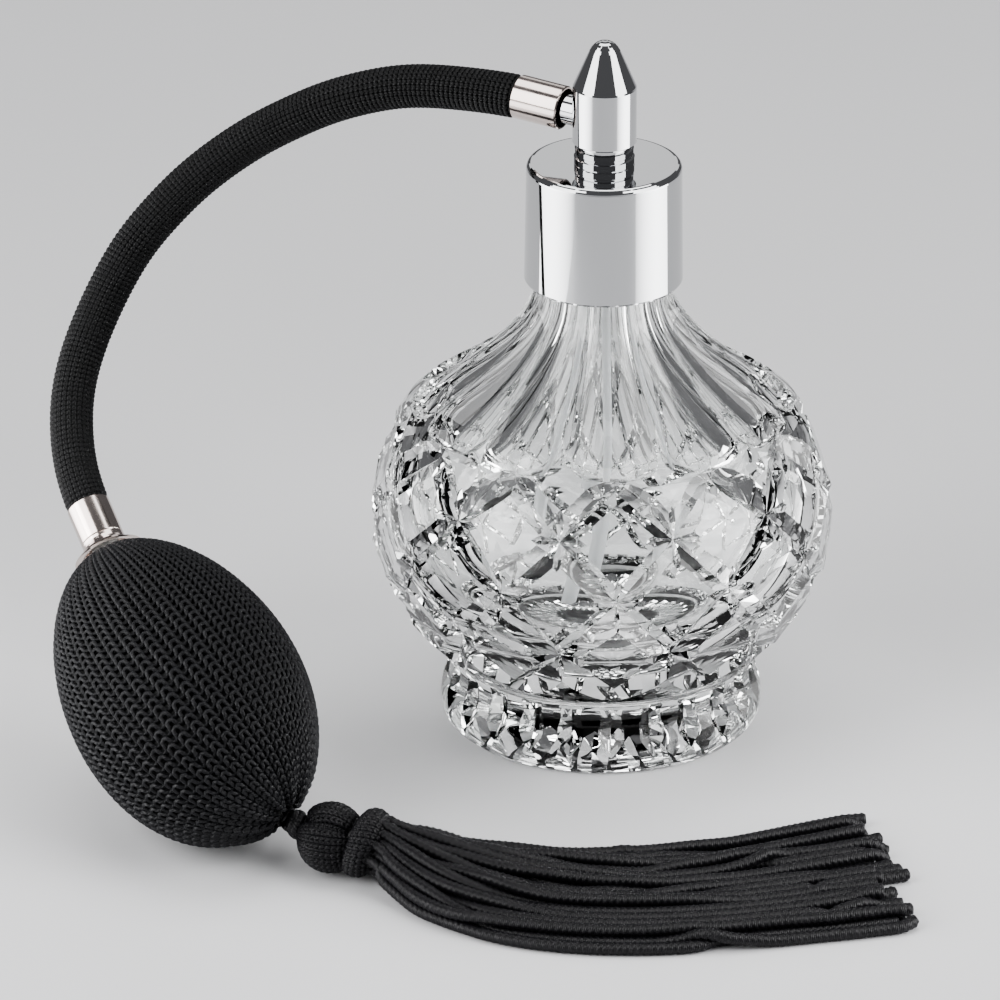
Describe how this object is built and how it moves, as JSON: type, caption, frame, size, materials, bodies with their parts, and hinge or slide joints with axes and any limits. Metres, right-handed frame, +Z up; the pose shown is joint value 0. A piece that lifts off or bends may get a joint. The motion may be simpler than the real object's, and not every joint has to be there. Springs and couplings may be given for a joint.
{
  "type": "perfume bottle",
  "caption": "Round cut-glass perfume bottle with a chrome collar and spray head, fed by a braided hose from a knitted squeeze bulb with a cord tassel.",
  "frame": {"origin": "centre of the bottle's flat base, on the surface it stands on", "axes": "+Z up along the bottle's axis; +X to the right of someone facing the bottle with the bulb at their left; +Y away from them"},
  "size_m": [0.1381, 0.1305, 0.12],
  "materials": {
    "glass": "clear cut crystal",
    "gasket": "soft",
    "chrome": "mirror polished",
    "nickel": "polished warm nickel",
    "white_plastic": "natural",
    "dip_plastic": "translucent white",
    "nozzle_plastic": "matt",
    "brass": "machined",
    "steel": "ground",
    "rubber": "moulded",
    "braid": "braided sleeve",
    "knit": "knitted",
    "cord": "braided cord"
  },
  "bodies": {
    "bottle": {"glass_bottle": "glass"},
    "spray_head": {"neck_gasket": "gasket", "spray_core": "white_plastic", "dip_tube": "dip_plastic", "head_base_ring": "chrome", "head_shell": "chrome", "nozzle_insert": "nozzle_plastic", "liquid_jet": "brass", "side_pipe": "chrome", "pipe_boss": "chrome"},
    "collar": {"collar_shell": "chrome", "collar_liner": "white_plastic"},
    "hose": {"upper_ferrule": "nickel", "hose_tube": "rubber", "hose_braid": "braid", "lower_ferrule": "nickel", "bulb_cup": "nickel", "bulb_connector": "white_plastic", "outlet_seat": "brass"},
    "outlet_valve": {"outlet_ball": "steel"},
    "bulb": {"bulb_bladder": "rubber", "bulb_cover": "knit", "inlet_body": "white_plastic", "inlet_cage": "brass", "cover_tie": "cord"},
    "inlet_valve": {"inlet_ball": "steel"},
    "tassel": {"tassel_loop": "cord", "tassel_head": "cord", "tassel_wrap": "cord", "tassel_skirt": "cord"}
  },
  "joints": [
    {"name": "lift_off", "type": "slide", "parent": "bottle", "child": "spray_head", "axis": [0, 0, 1], "range_m": [0, 0.08]},
    {"name": "collar_turn", "type": "hinge", "parent": "spray_head", "child": "collar", "pos_m": [0, 0, 0.09], "axis": [0, 0, 1], "range_deg": [0, 450]},
    {"name": "hose_swivel", "type": "hinge", "parent": "spray_head", "child": "hose", "pos_m": [0, 0, 0.1065], "axis": [-0.8902, 0.4501, 0.07], "range_deg": [0, 60]},
    {"name": "bulb_squeeze", "type": "slide", "parent": "hose", "child": "bulb", "axis": [0.8787, 0.4773, 0], "range_m": [0, 0.001], "stiffness_N_per_m": 800, "deforming": ["bulb_bladder", "bulb_cover"]},
    {"name": "outlet_lift", "type": "slide", "parent": "hose", "child": "outlet_valve", "axis": [-0.3802, 0.7203, 0.5802], "range_m": [0, 0.001]},
    {"name": "inlet_lift", "type": "slide", "parent": "bulb", "child": "inlet_valve", "axis": [-0.4405, 0.8108, 0.3854], "range_m": [0, 0.001]},
    {"name": "tassel_swing", "type": "hinge", "parent": "bulb", "child": "tassel", "pos_m": [-0.0504, -0.0582, 0.008], "axis": [-0.3102, -0.9507, 0], "range_deg": [0, 35]}
  ],
  "couplings": [
    {"joint": "outlet_lift", "follows": "bulb_squeeze", "ratio": 1}
  ]
}
